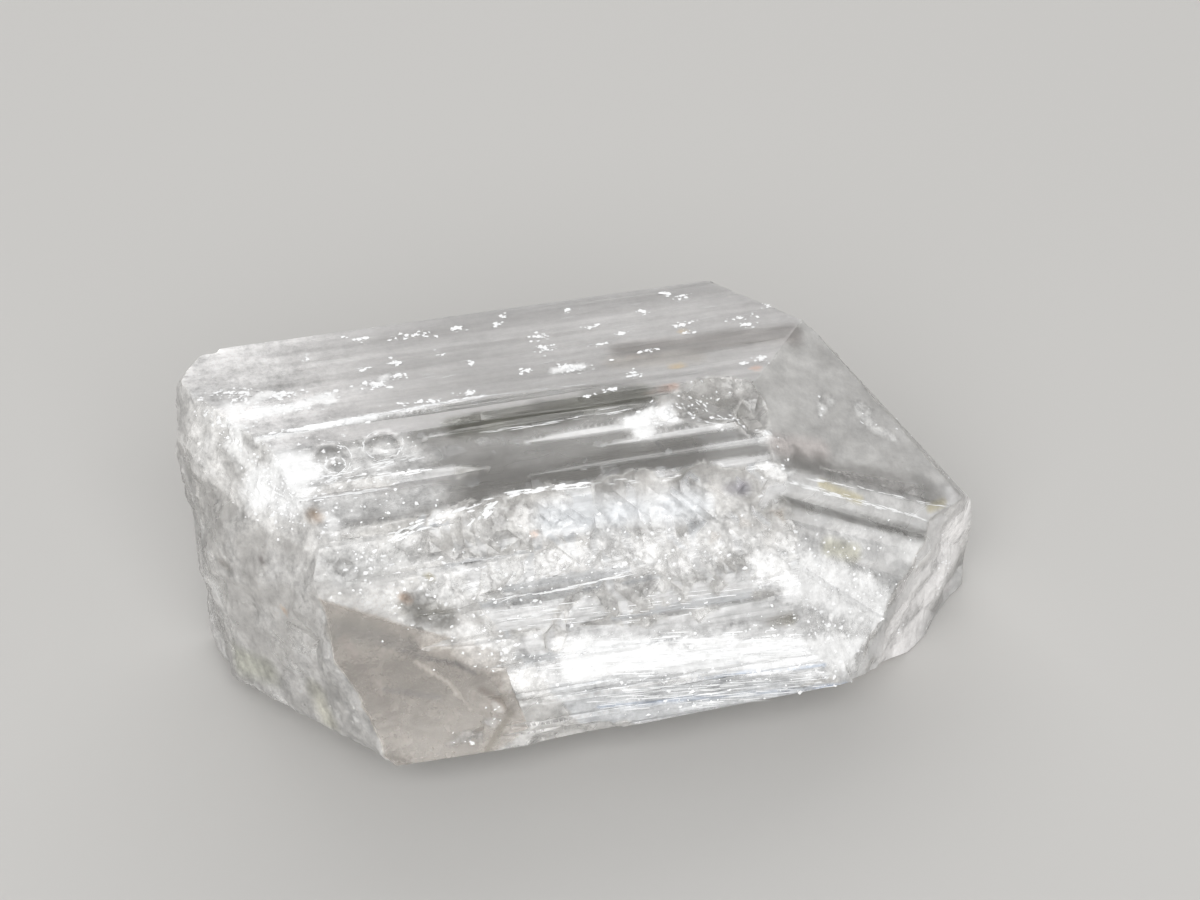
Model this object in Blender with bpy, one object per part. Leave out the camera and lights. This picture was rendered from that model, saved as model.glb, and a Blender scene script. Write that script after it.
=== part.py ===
"""Danburite crystal: a broken-off prism with a wedge-shaped termination, lying on one prism face.

The c axis runs along +X, from the broken end to the tip. The crystal rests on its (-1 -2 0) face
at z = 0, and the origin is in the middle of that face. Lengths in the tables are millimetres.
"""
import math
import random

import bmesh
import bpy
from mathutils import Matrix, Vector, noise

MM = 0.001
NAME = "danburite_crystal"

# Edges of the unit cell in angstroms. Only their ratios matter: they set the angles of the faces.
CELL_A = 8.04
CELL_B = 8.75
CELL_C = 7.73

# Faces as (h, k, l) and distance from the origin, the prism faces in order round the section.
PRISM = {
    "rest": ((-1, -2, 0), 0.0),
    "under": ((-2, -1, 0), 2.9),
    "front": ((-1, 1, 0), 9.8),
    "slope": ((-1, 2, 0), 10.5),
    "shoulder": ((0, 1, 0), 13.4),
    "top": ((1, 2, 0), 15.0),
    "back": ((1, 0, 0), 13.9),
    "back_under": ((1, -2, 0), 4.2),
}
TIP = {
    "tip_top": ((0, 2, 1), 15.0),
    "tip_back": ((1, 0, 1), 14.55),
    "tip_front": ((-1, 2, 1), 12.6),
    "tip_low": ((-2, 1, 2), 13.05),
    "tip_end": ((0, 0, 1), 18.1),
}
BLANK_SIZE = 60.0

# Facets that aren't crystal faces, as outward normal and distance: the worn ridge that runs down to
# the tip, and the slight taper of the overhang below the front face.
ODD_FACETS = (
    ((0.784, 0.085, 0.615), 17.6),
    ((0.03, -0.599, -0.80), 2.76),
)

# Rough patches: a centre, an outward normal, width by height, grid step, heights and sizes of the
# lumps, plates and grain, how fast the patch climbs out of the crystal at its border, and the flat
# breaks (outward normal and distance) that it follows.
BROKEN_END = {
    "centre": (-16.0, -0.5, 7.0),
    "normal": (-0.92, -0.38, 0.05),
    "size": (34.0, 26.0),
    "step": 0.8,
    "lump": 0.42,
    "lump_size": 3.6,
    "plate": 0.22,
    "plate_size": 2.4,
    "border": 0.0,
    "breaks": (
        ((-1.0, 0.0, -0.055), 18.05),
        ((-0.75, -0.45, 0.48), 18.9),
        ((-0.85, -0.52, 0.0), 15.2),
        ((-0.41, -0.40, -0.795), 6.2),
        ((-0.62, 0.52, 0.59), 23.3),
    ),
}
CRUSHED_SLOPE = {
    "centre": (-3.6, -6.0, 10.3),
    "normal": (0.0, -0.80, 0.60),
    "size": (22.0, 8.4),
    "step": 0.5,
    "lump": 0.22,
    "lump_size": 1.5,
    "plate": 0.3,
    "plate_size": 1.3,
    "border": 1.6,
    "breaks": (((0.02, -0.80, 0.60), 10.7),),
}
TIP_SCALLOPS = {
    "centre": (15.5, -3.5, 2.5),
    "normal": (0.72, -0.69, -0.05),
    "size": (16.0, 16.0),
    "step": 0.8,
    "lump": 0.4,
    "lump_size": 2.6,
    "plate": 0.12,
    "plate_size": 1.8,
    "border": 0.0,
    "breaks": (((0.70, -0.71, -0.05), 12.45),),
}
PATCH_DEPTH = 22.0
RIDGE_SOFTNESS = 0.3
BORDER_START = 0.72
BORDER_WANDER = 0.3

# The smooth break at the front corner of the broken end: normal, distance, centre and size.
WEDGE_NORMAL = (-0.09, -0.92, 0.37)
WEDGE_DISTANCE = 10.45
WEDGE_CENTRE = (-12.6, -7.9, 6.4)
WEDGE_SIZE = (12.0, 14.0, 4.0)
WEDGE_TURN = 14.0

# Growth grooves along the c axis: face, how many, and their widest width and depth.
GROOVES = (
    ("top", 10, 0.7, 0.06),
    ("shoulder", 5, 0.6, 0.08),
    ("slope", 5, 0.6, 0.2),
    ("front", 6, 0.45, 0.15),
    ("under", 4, 0.6, 0.15),
    ("back", 9, 0.7, 0.16),
    ("back_under", 6, 0.8, 0.16),
)
GROOVE_REACH = (-19.0, 14.0)
GROOVE_LENGTHS = (9.0, 24.0)
GROOVE_SEED = 17

# Long steps in the growth faces: face, place across it (0 to 1), start, end, width and depth.
STEPS = (
    ("slope", 0.54, -7.5, 1.0, 0.9, 0.35),
    ("slope", 0.30, -3.0, 6.5, 0.6, 0.25),
    ("top", 0.16, -16.5, 0.8, 0.5, 0.22),
    ("top", 0.04, -7.6, 4.8, 0.8, 0.34),
    ("back", 0.35, -14.0, 8.0, 1.2, 0.3),
    ("shoulder", 0.45, -15.5, -6.0, 0.8, 0.25),
    ("front", 0.75, -6.0, 9.0, 0.6, 0.2),
)

# Grooves that spread out over the lower tip face: start, end, width and depth.
FAN = (
    ((7.0, -3.5, 13.0), (16.2, -2.5, 7.5), 0.9, 0.24),
    ((6.0, -4.9, 12.3), (15.2, -3.7, 6.7), 0.8, 0.26),
    ((6.2, -5.7, 11.5), (13.2, -4.9, 7.5), 0.6, 0.16),
    ((9.6, -5.7, 8.2), (15.0, -5.0, 4.8), 0.7, 0.18),
    ((7.0, -6.6, 9.6), (12.0, -6.9, 5.0), 0.9, 0.16),
)

# Chips and scoops out of the edges: centre, radii along x, y and z, and turn about the y axis.
CHIPS = (
    ((4.4, -1.3, 15.5), (3.0, 1.7, 1.5), 8),
    ((6.3, -2.1, 14.9), (1.2, 1.5, 1.3), -20),
    ((2.2, -1.7, 15.4), (1.6, 1.1, 1.1), 12),
    ((7.3, -4.4, 13.6), (1.3, 1.0, 0.9), 30),
    ((-3.2, -10.1, 2.9), (3.2, 1.7, 1.35), 6),
    ((-1.6, -10.0, 3.3), (1.6, 1.0, 0.9), -6),
    ((8.0, -9.9, 4.0), (1.9, 0.9, 0.9), 0),
    ((-13.9, -3.4, 14.6), (1.3, 1.0, 0.9), 0),
    ((-11.4, -2.9, 14.5), (1.1, 0.9, 0.8), 10),
    ((-17.6, 8.3, 15.4), (1.6, 1.1, 1.1), 15),
    ((-9.0, 11.8, 9.2), (1.7, 1.2, 1.1), 0),
    ((3.5, 11.9, 8.8), (1.1, 0.9, 0.9), 12),
    ((13.3, 6.8, 9.4), (0.9, 0.9, 1.2), -15),
    ((17.9, 1.2, 4.2), (0.9, 1.1, 1.5), 0),
)
CHIP_UNEVENNESS = 0.16


def face_normal(hkl):
    """Outward normal of a crystal face, with (1 2 0) pointing up and the c axis along +X."""
    h, k, l = hkl
    roll = math.atan2(2 / CELL_B, 1 / CELL_A)
    a_axis = Vector((0, math.sin(roll), math.cos(roll)))
    b_axis = Vector((0, -math.cos(roll), math.sin(roll)))
    c_axis = Vector((1, 0, 0))
    return (a_axis * h / CELL_A + b_axis * k / CELL_B + c_axis * l / CELL_C).normalized()


def section_corner(first, second):
    """Where two prism faces meet in the section across the c axis, as (x = 0, y, z)."""
    (first_hkl, d1), (second_hkl, d2) = PRISM[first], PRISM[second]
    n1, n2 = face_normal(first_hkl), face_normal(second_hkl)
    spread = n1.y * n2.z - n1.z * n2.y
    return Vector((0, (d1 * n2.z - d2 * n1.z) / spread, (n1.y * d2 - n2.y * d1) / spread))


def face_line(face, across):
    """A point on a prism face at x = 0, from its edge with the face before it (0) to the next (1)."""
    names = list(PRISM)
    place = names.index(face)
    start = section_corner(names[place - 1], face)
    end = section_corner(face, names[(place + 1) % len(names)])
    return start.lerp(end, across)


def surface_matrix(normal, centre):
    """A frame with Z along the normal, X as near to the c axis as it can be, and its origin there."""
    z_axis = Vector(normal).normalized()
    guide = Vector((1, 0, 0)) if abs(z_axis.x) < 0.8 else Vector((0, 1, 0))
    x_axis = (guide - z_axis * guide.dot(z_axis)).normalized()
    y_axis = z_axis.cross(x_axis)
    turn = Matrix((x_axis, y_axis, z_axis)).transposed().to_4x4()
    return Matrix.Translation(Vector(centre)) @ turn


def new_collection(name):
    collection = bpy.data.collections.new(name)
    bpy.context.scene.collection.children.link(collection)
    return collection


def add_object(name, bm, collection):
    """Makes an object of a bmesh that is in millimetres."""
    bmesh.ops.scale(bm, vec=(MM, MM, MM), verts=bm.verts)
    bmesh.ops.recalc_face_normals(bm, faces=bm.faces)
    mesh = bpy.data.meshes.new(name)
    bm.to_mesh(mesh)
    bm.free()
    thing = bpy.data.objects.new(name, mesh)
    collection.objects.link(thing)
    return thing


def add_cutter(name, bm, collection):
    cutter = add_object(name, bm, collection)
    cutter.hide_render = True
    cutter.display_type = "WIRE"
    return cutter


def cut(target, cutters):
    """Takes every cutter of a collection out of the crystal."""
    boolean = target.modifiers.new("breaks_and_grooves", "BOOLEAN")
    boolean.operation = "DIFFERENCE"
    boolean.solver = "EXACT"
    boolean.operand_type = "COLLECTION"
    boolean.collection = cutters


def crystal_blank(collection):
    """The perfect crystal: a block trimmed by each of its faces."""
    bm = bmesh.new()
    bmesh.ops.create_cube(bm, size=BLANK_SIZE)
    planes = [(face_normal(hkl), distance) for hkl, distance in (*PRISM.values(), *TIP.values())]
    planes += [(Vector(normal).normalized(), distance) for normal, distance in ODD_FACETS]
    for normal, distance in planes:
        geometry = [*bm.verts, *bm.edges, *bm.faces]
        result = bmesh.ops.bisect_plane(
            bm, geom=geometry, plane_co=normal * distance, plane_no=normal, clear_outer=True)
        rim = [piece for piece in result["geom_cut"] if isinstance(piece, bmesh.types.BMEdge)]
        bmesh.ops.contextual_create(bm, geom=rim)
    return add_object(NAME, bm, collection)


def smooth_min(heights):
    """The lowest of several heights, with a rounded ridge where two of them meet."""
    lowest = min(heights)
    total = sum(math.exp((lowest - height) / RIDGE_SOFTNESS) for height in heights)
    return lowest - RIDGE_SOFTNESS * math.log(total)


def plate_height(point):
    """Height of a surface of tilted plates, one to each Voronoi cell."""
    seed = noise.voronoi(point)[1][0]
    tilt = noise.noise_vector(seed * 7.3)
    return noise.noise(seed * 3.1) + tilt.dot(point - seed)


def rough_height(point, normal, patch):
    """How far above a point on the patch's plane its broken surface lies, along the normal."""
    heights = []
    for break_normal, distance in patch["breaks"]:
        outward = Vector(break_normal).normalized()
        heights.append((distance - outward.dot(point)) / outward.dot(normal))
    lumps = noise.fractal(point / patch["lump_size"], 0.9, 2.1, 3)
    plates = plate_height(point / patch["plate_size"])
    return smooth_min(heights) + patch["lump"] * lumps + patch["plate"] * plates


def border_rise(u, v, patch):
    """Lifts the rim of a patch, so that it runs out in an uneven oval and not in a straight edge."""
    reach = math.hypot(2 * u, 2 * v)
    wander = BORDER_WANDER * noise.noise(Vector((6 * u, 3 * v, 4.0)))
    return patch["border"] * max(0.0, reach + wander - BORDER_START) ** 1.5


def rough_patch(name, patch, collection):
    """A block that stands on a rough surface and is cut from the crystal to leave that surface."""
    frame = surface_matrix(patch["normal"], patch["centre"])
    normal = Vector(patch["normal"]).normalized()
    width, height = patch["size"]
    bm = bmesh.new()
    bmesh.ops.create_grid(bm, x_segments=round(width / patch["step"]),
                          y_segments=round(height / patch["step"]), size=0.5)
    surface = list(bm.verts)
    raised = bmesh.ops.extrude_face_region(bm, geom=bm.faces[:])
    roof = [piece for piece in raised["geom"] if isinstance(piece, bmesh.types.BMVert)]
    for vert in surface:
        u, v = vert.co.x, vert.co.y
        place = Vector((u * width, v * height, 0))
        place.z = rough_height(frame @ place, normal, patch) + border_rise(u, v, patch)
        vert.co = place
    for vert in roof:
        vert.co = (vert.co.x * width, vert.co.y * height, PATCH_DEPTH)
    roof_faces = [face for face in bm.faces if all(vert in roof for vert in face.verts)]
    bmesh.ops.dissolve_faces(bm, faces=roof_faces)
    bmesh.ops.transform(bm, matrix=frame, verts=bm.verts)
    return add_cutter(name, bm, collection)


def wedge_cutter(collection):
    """A block whose floor is the smooth break at the front corner."""
    length, height, depth = WEDGE_SIZE
    bm = bmesh.new()
    bmesh.ops.create_cube(bm, size=1)
    bmesh.ops.scale(bm, vec=(length, height, depth), verts=bm.verts)
    turn = Matrix.Rotation(math.radians(WEDGE_TURN), 3, "Z")
    bmesh.ops.rotate(bm, matrix=turn, verts=bm.verts)
    normal = Vector(WEDGE_NORMAL).normalized()
    centre = Vector(WEDGE_CENTRE)
    centre += normal * (WEDGE_DISTANCE + depth / 2 - normal.dot(centre))
    bmesh.ops.transform(bm, matrix=surface_matrix(normal, centre), verts=bm.verts)
    return add_cutter("wedge_break", bm, collection)


def spindle(name, start, end, normal, width, depth, collection):
    """A four-sided spindle, pointed at both ends, sunk along a line on a face."""
    bm = bmesh.new()
    bmesh.ops.create_uvsphere(bm, u_segments=4, v_segments=4, radius=1)
    bmesh.ops.rotate(bm, matrix=Matrix.Rotation(math.radians(90), 3, "Y"), verts=bm.verts)
    bmesh.ops.scale(bm, vec=((end - start).length / 2, width / 2, depth), verts=bm.verts)
    x_axis = (end - start).normalized()
    turn = Matrix((x_axis, normal.cross(x_axis), normal)).transposed().to_4x4()
    bmesh.ops.transform(bm, matrix=Matrix.Translation((start + end) / 2) @ turn, verts=bm.verts)
    return add_cutter(name, bm, collection)


def spindle_on_prism(name, face, across, first_x, last_x, width, depth, collection):
    """A spindle along the c axis on a prism face."""
    line = face_line(face, across)
    start, end = line + Vector((first_x, 0, 0)), line + Vector((last_x, 0, 0))
    return spindle(name, start, end, face_normal(PRISM[face][0]), width, depth, collection)


def growth_grooves(collection):
    """Grooves along the c axis, at seeded places on each prism face."""
    rng = random.Random(GROOVE_SEED)
    first_x, last_x = GROOVE_REACH
    for face, count, width, depth in GROOVES:
        for number in range(count):
            across = (number + rng.uniform(0.25, 0.75)) / count
            start = rng.uniform(first_x, 0.0)
            end = min(start + rng.uniform(*GROOVE_LENGTHS), last_x)
            share = rng.uniform(0.55, 1.0)
            spindle_on_prism(f"groove_{face}_{number}", face, across, start, end,
                             width * share, depth * share, collection)


def long_steps(collection):
    for number, (face, across, start, end, width, depth) in enumerate(STEPS):
        spindle_on_prism(f"step_{number}", face, across, start, end, width, depth, collection)


def tip_fan(collection):
    """Grooves over the lower tip face, spreading from its upper left corner."""
    normal, distance = face_normal(TIP["tip_front"][0]), TIP["tip_front"][1]
    for number, (start, end, width, depth) in enumerate(FAN):
        start, end = (Vector(point) for point in (start, end))
        start, end = (point + normal * (distance - normal.dot(point)) for point in (start, end))
        spindle(f"fan_{number}", start, end, normal, width, depth, collection)


def edge_chips(collection):
    """Facetted scoops, each a low ball stretched over the edge that it breaks."""
    for number, (centre, radii, turn) in enumerate(CHIPS):
        bm = bmesh.new()
        bmesh.ops.create_icosphere(bm, subdivisions=2, radius=1)
        for vert in bm.verts:
            vert.co *= 1 + CHIP_UNEVENNESS * noise.noise(vert.co * 1.6 + Vector((number * 5, 0, 0)))
        bmesh.ops.scale(bm, vec=radii, verts=bm.verts)
        bmesh.ops.rotate(bm, matrix=Matrix.Rotation(math.radians(turn), 3, "Y"), verts=bm.verts)
        bmesh.ops.translate(bm, vec=centre, verts=bm.verts)
        add_cutter(f"chip_{number}", bm, collection)


def danburite_material():
    material = bpy.data.materials.new("danburite")
    material.use_nodes = True
    shader = material.node_tree.nodes["Principled BSDF"]
    shader.inputs["Base Color"].default_value = (0.93, 0.92, 0.91, 1)
    shader.inputs["Roughness"].default_value = 0.2
    shader.inputs["Metallic"].default_value = 0.0
    shader.inputs["IOR"].default_value = 1.633
    shader.inputs["Transmission Weight"].default_value = 1.0
    return material


def build():
    for thing in list(bpy.data.objects):
        bpy.data.objects.remove(thing)
    parts = new_collection(NAME + "_parts")
    cutters = new_collection("cutters")
    crystal = crystal_blank(parts)
    crystal.data.materials.append(danburite_material())
    growth_grooves(cutters)
    long_steps(cutters)
    tip_fan(cutters)
    wedge_cutter(cutters)
    rough_patch("broken_end", BROKEN_END, cutters)
    rough_patch("crushed_slope", CRUSHED_SLOPE, cutters)
    rough_patch("tip_scallops", TIP_SCALLOPS, cutters)
    edge_chips(cutters)
    cut(crystal, cutters)


build()
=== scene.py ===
import math
import random

import bmesh
import bpy
import numpy as np
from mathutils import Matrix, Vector, noise
from mathutils.bvhtree import BVHTree
from mathutils.geometry import delaunay_2d_cdt


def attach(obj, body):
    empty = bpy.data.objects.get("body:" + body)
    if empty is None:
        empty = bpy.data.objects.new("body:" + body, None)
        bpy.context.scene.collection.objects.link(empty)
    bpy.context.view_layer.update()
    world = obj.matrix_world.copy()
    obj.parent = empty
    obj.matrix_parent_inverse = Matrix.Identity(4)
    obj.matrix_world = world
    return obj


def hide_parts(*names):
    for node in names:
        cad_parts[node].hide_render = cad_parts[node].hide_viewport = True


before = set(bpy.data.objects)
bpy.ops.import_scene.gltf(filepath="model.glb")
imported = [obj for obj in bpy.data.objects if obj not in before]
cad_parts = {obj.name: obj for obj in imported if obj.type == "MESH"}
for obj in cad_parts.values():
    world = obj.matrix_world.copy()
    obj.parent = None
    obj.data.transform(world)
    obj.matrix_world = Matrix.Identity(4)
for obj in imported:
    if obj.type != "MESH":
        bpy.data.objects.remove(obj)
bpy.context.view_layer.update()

NODE = "danburite_crystal"

# One millimetre in metres. Places and sizes below are in millimetres unless a comment says otherwise.
MM = 0.001

# Camera: how far it looks down, how far round to the left it stands, what it looks at, and from how far.
VIEW_DOWN = math.radians(38.4)
VIEW_ROUND = math.radians(13.5)
VIEW_TARGET = Vector((1.0, 5.5, 7.5))
VIEW_DISTANCE = 144.0
LENS = 90.0
SENSOR = 36.0

# Faces of the crystal by Miller indices. Their normals follow from danburite's cell, with (1 2 0) upward.
CELL = (8.04, 8.75, 7.73)
FACES = {
    "top": (1, 2, 0),
    "shoulder": (0, 1, 0),
    "slope": (-1, 2, 0),
    "front": (-1, 1, 0),
    "under": (-2, -1, 0),
    "rest": (-1, -2, 0),
    "back_under": (1, -2, 0),
    "back": (1, 0, 0),
    "tip_top": (0, 2, 1),
    "tip_back": (1, 0, 1),
    "tip_front": (-1, 2, 1),
    "tip_low": (-2, 1, 2),
}
GROWN = ("top", "shoulder", "slope", "front", "back")
HIDDEN = ("rest", "under", "back_under")
WEDGE_NORMAL = Vector((-0.09, -0.92, 0.37)).normalized()

# Cosines that tell which face a normal belongs to: a flat face, and a groove's wall along the grain.
FLAT_MATCH = 0.9995
GROOVE_MATCH = 0.82
GROOVE_LEAN = 0.07

# The left part of the sloped and front faces is crumbled: up to this x at this z, and how it leans.
CRUMBLED_X = -10.4
CRUMBLED_Z = 13.8
CRUMBLED_LEAN = 0.72

# Beyond this x the breaks are smoother.
FOOT_X = 12.0

# Sizes of the fine mesh.
WELD = 0.002
EDGE_STEP = 0.22
FACE_STEP = 0.135
GRAIN_ALONG = 0.30
GRAIN_ACROSS = 0.15
FINE_ALONG = 0.18
HIDDEN_STEP = 0.6

# Milky zones, with some strokes that paint highlights and light as white: start and end of a stroke, its
# reach round that line, how milky, how crushed.
MILK_AND_PAINTED_LIGHT = (
    ((-4.5, -4.6, 12.3), (3.6, -4.9, 11.9), 1.2, 0.80, 0.15),
    ((-9.5, -5.8, 10.6), (5.0, -5.9, 10.4), 1.6, 0.66, 0.68),
    ((-11.8, -4.8, 11.8), (-9.0, -6.4, 9.2), 1.7, 0.62, 0.45),
    ((-6.0, -7.2, 9.0), (4.0, -7.6, 8.6), 0.9, 0.58, 0.25),
    # Front band: its white is partly milky striation and partly painted light, the glow of light passing
    # through the crystal.
    ((-3.2, -8.0, 6.9), (9.5, -8.5, 5.0), 1.4, 0.95, 0.86),
    ((-2.5, -9.0, 4.6), (9.5, -9.2, 3.6), 1.0, 0.62, 0.45),
    ((6.5, -6.6, 9.2), (11.5, -6.8, 5.6), 1.7, 0.90, 0.82),
    ((9.5, -5.0, 9.5), (14.5, -4.5, 6.3), 0.9, 0.80, 0.30),
    # Partly the crushed white of the left end, partly a painted highlight: these two strokes reach wide to
    # cover the blown-out patch of light there.
    ((-15.9, -1.9, 14.2), (-14.3, -1.4, 14.5), 1.50, 1.00, 1.00),
    ((-16.0, -0.8, 13.3), (-14.8, -2.1, 13.5), 1.30, 1.00, 1.00),
    ((-16.9, 1.4, 14.6), (-16.2, 0.2, 13.9), 0.7, 0.85, 0.75),
    ((-13.6, -3.6, 13.0), (-13.2, -4.1, 12.9), 0.6, 0.85, 0.75),
    ((-13.5, -4.3, 12.6), (-10.8, -5.3, 11.2), 1.4, 0.60, 0.55),
    ((-8.1, -7.6, 8.6), (-4.2, -8.7, 5.8), 1.3, 0.72, 0.62),
    ((3.2, -0.9, 14.8), (4.7, -2.1, 14.1), 0.17, 0.95, 0.85),
    ((5.3, -1.5, 14.4), (6.9, -2.9, 13.6), 0.17, 0.95, 0.85),
    ((4.1, -0.7, 14.9), (5.1, -1.7, 14.3), 0.14, 0.90, 0.75),
    ((14.9, 1.6, 10.9), (17.1, -1.2, 7.9), 0.35, 0.90, 0.45),
    ((10.6, 0.2, 12.9), (10.0, -0.7, 12.8), 0.35, 0.85, 0.55),
    ((12.2, 0.2, 11.9), (13.6, -0.5, 10.6), 0.5, 0.85, 0.50),
    ((-14.0, -1.2, 14.6), (-9.4, -1.5, 14.4), 1.25, 0.78, 0.58),
    ((-9.0, -1.2, 14.6), (2.0, -1.1, 14.7), 0.5, 0.32, 0.10),
    ((-14.2, -3.0, 13.4), (-9.0, -3.2, 13.3), 0.8, 0.72, 0.55),
    ((-17.9, 2.2, 15.0), (-17.3, 5.4, 14.6), 0.9, 0.65, 0.40),
    ((-15.7, 2.5, 15.0), (-12.4, 2.5, 15.0), 0.55, 1.00, 1.00),
    ((-16.6, 3.2, 15.0), (-15.0, 3.9, 15.0), 0.55, 0.90, 0.85),
    ((-17.3, 2.2, 14.8), (-16.4, 1.4, 14.8), 0.6, 0.90, 0.85),
    ((-10.8, 3.3, 15.0), (-9.4, 3.5, 15.0), 0.35, 0.85, 0.70),
    ((-1.9, 2.4, 15.0), (-0.6, 2.5, 15.0), 0.30, 0.95, 0.90),
    ((-18.3, 4.3, 15.0), (-17.8, 4.2, 15.0), 0.5, 0.85, 0.75),
    ((-16.8, 4.2, 15.0), (-16.0, 4.2, 15.0), 0.35, 0.75, 0.55),
    ((1.0, -1.5, 14.4), (2.8, -1.2, 14.6), 0.62, 1.00, 1.00),
    ((3.2, -0.9, 14.8), (5.6, -0.7, 14.9), 0.7, 0.60, 0.62),
    ((6.2, -4.3, 12.9), (7.4, -4.1, 12.8), 0.45, 0.90, 0.80),
    ((6.6, -2.9, 13.6), (7.4, -2.8, 13.3), 0.4, 0.85, 0.55),
    # Foot: milky white, raised to full white as painted light where the foot lies in shade; the next stroke
    # is a painted highlight on it.
    ((13.0, -4.6, 1.5), (16.6, -1.8, 4.5), 3.0, 1.00, 0.10),
    ((16.0, -2.0, 3.9), (16.1, -2.0, 2.7), 0.60, 1.00, 0.90),
    ((13.4, -4.3, 2.3), (13.1, -4.5, 1.4), 0.40, 0.95, 0.80),
    ((-7.2, -4.5, 12.6), (-5.6, -4.0, 13.3), 0.3, 0.90, 0.60),
    ((-10.8, -4.6, 12.3), (-7.9, -4.1, 13.1), 0.45, 0.85, 0.50),
    ((-7.6, -4.1, 13.1), (-3.5, -3.9, 13.4), 0.20, 0.85, 0.50),
    ((-14.3, -2.6, 13.8), (-10.6, -2.6, 13.8), 0.15, 0.90, 0.60),
    ((-11.4, -2.1, 14.1), (-8.6, -2.2, 14.1), 0.13, 0.80, 0.50),
    # Painted highlight: the lit far wall of the groove on the upper face, drawn as full white.
    ((-15.7, 0.6, 15.0), (-10.5, 1.0, 15.0), 0.26, 1.00, 1.00),
    ((-10.5, 1.0, 15.0), (-5.4, 1.35, 15.0), 0.12, 0.95, 0.85),
    ((-7.6, -8.6, 4.9), (-7.2, -8.7, 4.6), 0.40, 0.45, 0.62),
    ((-9.0, -8.9, 3.9), (-8.2, -8.9, 3.8), 0.40, 0.45, 0.58),
    ((-7.1, -8.5, 5.4), (-6.9, -8.5, 5.1), 0.28, 0.80, 0.60),
    ((-12.2, -5.2, 10.6), (-10.8, -5.9, 9.8), 0.7, 0.62, 0.50),
    ((-12.4, -6.6, 8.4), (-10.4, -7.2, 7.5), 0.10, 0.60, 0.05),
    ((-10.4, -7.2, 7.5), (-9.0, -7.8, 6.4), 0.13, 0.58, 0.05),
    ((-9.0, -7.8, 6.4), (-8.3, -8.3, 5.2), 0.13, 0.55, 0.05),
)

# Zones clearer than the face round them: start, end, reach, how much clearer.
CLEAR = (
    ((-6.9, -0.52, 15.0), (1.6, -0.12, 15.0), 0.60, 1.0),
    ((1.5, 3.2, 15.0), (9.4, 2.7, 15.0), 0.6, 0.6),
    ((-6.6, -3.0, 13.6), (3.2, -3.2, 13.5), 0.85, 0.85),
    ((3.6, -0.7, 14.5), (5.6, -1.4, 14.2), 0.8, 0.6),
    ((7.6, -3.6, 12.8), (10.5, -3.4, 10.8), 0.5, 0.6),
    ((7.9, -3.5, 12.6), (15.2, -2.2, 8.2), 0.55, 0.55),
    ((6.3, -5.2, 12.1), (14.4, -3.7, 7.0), 0.26, 0.70),
    ((10.8, -5.8, 7.4), (13.6, -5.4, 5.4), 0.14, 0.60),
    ((-10.4, -6.2, 9.8), (-8.9, -6.6, 9.3), 0.5, 0.7),
    ((-6.3, -6.3, 9.9), (-0.6, -6.1, 10.1), 0.10, 1.0),
    ((2.0, -7.2, 9.6), (5.2, -7.4, 9.6), 0.22, 0.8),
    ((5.2, -8.2, 7.3), (6.8, -8.1, 7.2), 0.3, 0.9),
)

# Zones without crushed grain: start, end and reach.
SMOOTH = (
    ((-3.6, -4.6, 12.3), (3.0, -4.9, 12.0), 0.85),
    ((-11.6, -5.2, 11.2), (-10.6, -5.4, 10.9), 0.6),
    ((12.6, -4.8, 7.2), (14.6, -4.2, 5.8), 0.9),
)
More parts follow.
